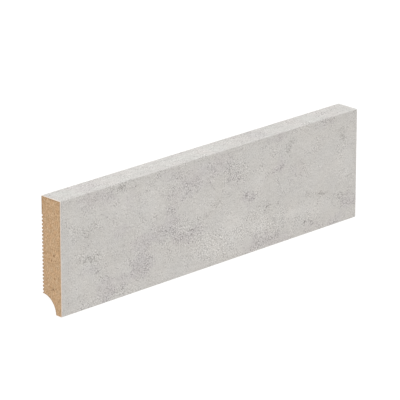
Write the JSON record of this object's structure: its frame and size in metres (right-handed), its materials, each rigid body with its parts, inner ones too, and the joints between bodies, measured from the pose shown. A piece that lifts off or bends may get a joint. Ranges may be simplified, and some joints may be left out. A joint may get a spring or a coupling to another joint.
{
  "type": "skirting board length",
  "caption": "Straight fibreboard skirting length faced with concrete-look laminate, square-sawn ends, grooved back and a quarter-round hollow behind the foot.",
  "frame": {"origin": "middle of the board's box, on the surface that its grooved back lies on", "axes": "+X along the length, +Y towards the top edge as fitted, -Y towards the foot, +Z out of the decorated face"},
  "size_m": [0.28, 0.08, 0.018],
  "materials": {
    "fibreboard": "matte",
    "decor_laminate": "matte"
  },
  "bodies": {
    "root": {"mdf_core": "fibreboard", "decor_wrap": "decor_laminate"}
  },
  "joints": []
}
